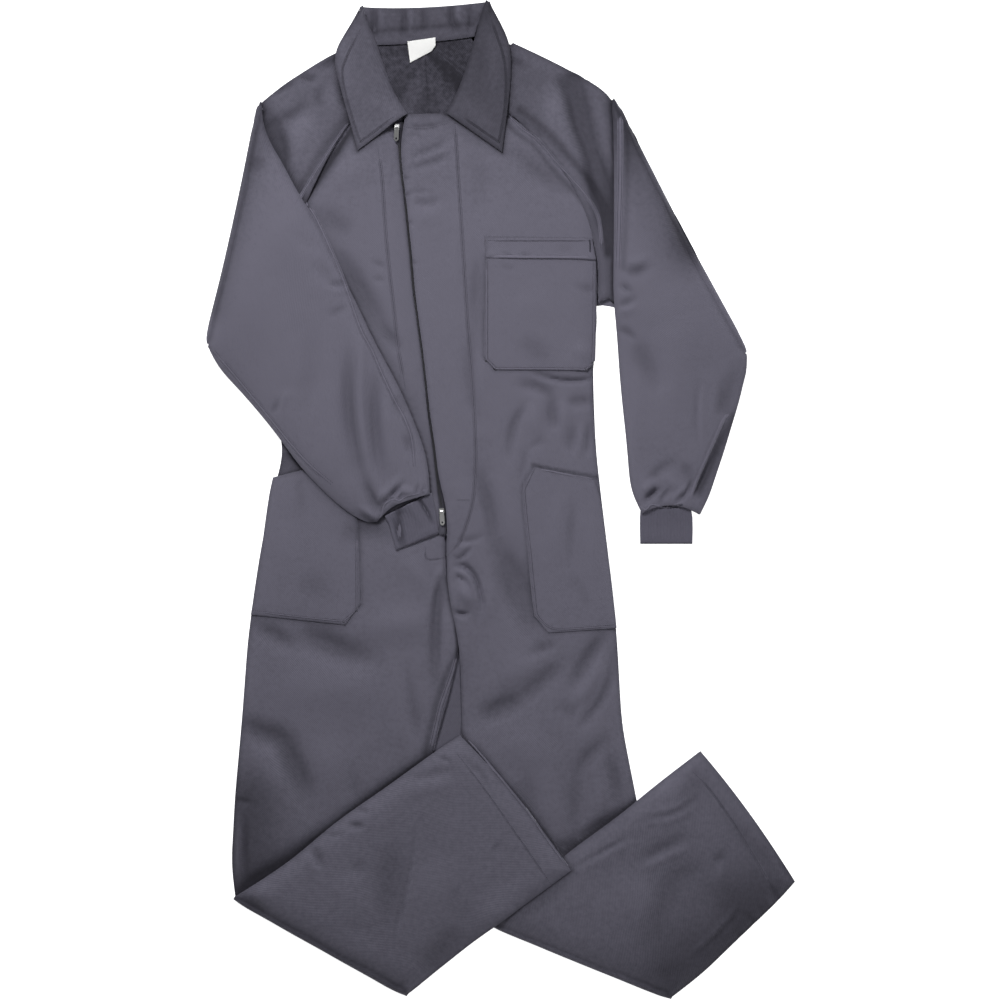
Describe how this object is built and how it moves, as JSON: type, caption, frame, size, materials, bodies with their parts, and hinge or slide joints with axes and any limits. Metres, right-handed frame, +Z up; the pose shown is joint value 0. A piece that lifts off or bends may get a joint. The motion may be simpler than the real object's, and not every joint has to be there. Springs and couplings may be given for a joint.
{
  "type": "boiler suit",
  "caption": "Long-sleeved zip-front boiler suit laid flat face up, one sleeve over the front and both lower legs folded up; zip pull tabs swing.",
  "frame": {"origin": "centre of the bounding box in plan, on the surface the suit lies on", "axes": "+Z up, out of the face-up front; +Y towards the collar; +X towards the wearer's left"},
  "size_m": [0.8856, 1.4983, 0.0249],
  "materials": {
    "grey_twill": "matt cotton-blend twill, plain dyed grey",
    "rib_knit": "matt rib knit, plain dyed grey",
    "zip_tape": "woven zip tape, dark grey",
    "nickel": "nickel-plated, polished",
    "white_label": "smooth woven label, blank white"
  },
  "bodies": {
    "garment": {"back_left": "grey_twill", "back_right": "grey_twill", "chest_pocket": "grey_twill", "chest_pocket_band": "grey_twill", "collar_band": "grey_twill", "collar_leaf_left": "grey_twill", "collar_leaf_right": "grey_twill", "cuff_left": "rib_knit", "cuff_right": "rib_knit", "fly_facing": "grey_twill", "front_left": "grey_twill", "front_right": "grey_twill", "hip_pocket_left": "grey_twill", "hip_pocket_right": "grey_twill", "neck_label": "white_label", "sleeve_left_back": "grey_twill", "sleeve_left_front": "grey_twill", "sleeve_right_back": "grey_twill", "sleeve_right_front": "grey_twill", "zip_slider_bottom": "nickel", "zip_slider_top": "nickel", "zip_tape": "zip_tape"},
    "pull_tab_top": {"zip_tab_top": "nickel"},
    "pull_tab_bottom": {"zip_tab_bottom": "nickel"}
  },
  "joints": [
    {"name": "pull_tab_top_hinge", "type": "hinge", "parent": "garment", "child": "pull_tab_top", "pos_m": [-0.1545, 0.558, 0.01811], "axis": [-0.9986, 0.0523, 0], "range_deg": [0, 100]},
    {"name": "pull_tab_bottom_hinge", "type": "hinge", "parent": "garment", "child": "pull_tab_bottom", "pos_m": [-0.0875, -0.017, 0.01696], "axis": [-0.9976, -0.0698, 0], "range_deg": [0, 110]}
  ]
}
